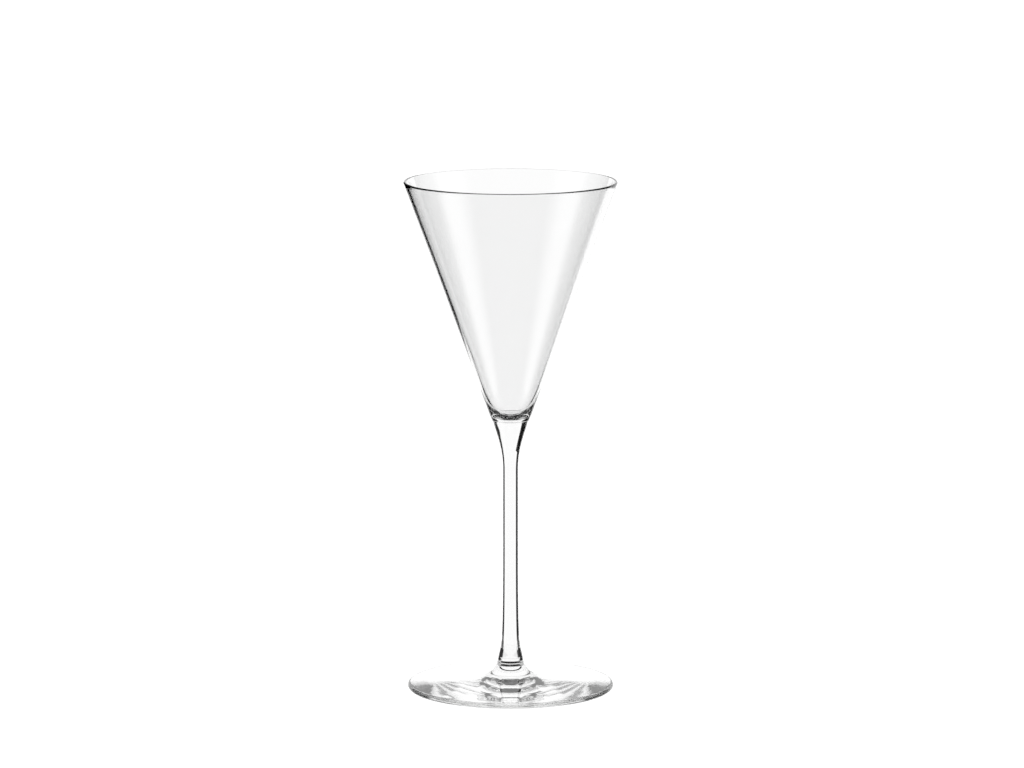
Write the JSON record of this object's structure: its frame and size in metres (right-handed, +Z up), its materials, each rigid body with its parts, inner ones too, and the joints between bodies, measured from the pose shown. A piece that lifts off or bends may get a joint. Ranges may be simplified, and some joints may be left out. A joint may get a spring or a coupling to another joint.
{
  "type": "martini glass",
  "caption": "Slim clear martini glass: steep conical bowl, long drawn stem with flared ends, small collar and round shallow foot.",
  "frame": {"origin": "centre of the foot on the ground plane", "axes": "+Z up along the glass's axis of revolution; X and Y are level and interchangeable"},
  "size_m": [0.087, 0.087, 0.21],
  "materials": {
    "foot_glass": "clear polished glass, fire-polished rounded edge, light wear on the standing ring",
    "stem_glass": "clear drawn glass, faint lengthwise waviness",
    "bowl_glass": "clear blown glass, thin wall, fire-polished rim"
  },
  "bodies": {
    "root": {"foot": "foot_glass", "stem_collar": "stem_glass", "stem": "stem_glass", "bowl": "bowl_glass"}
  },
  "joints": []
}
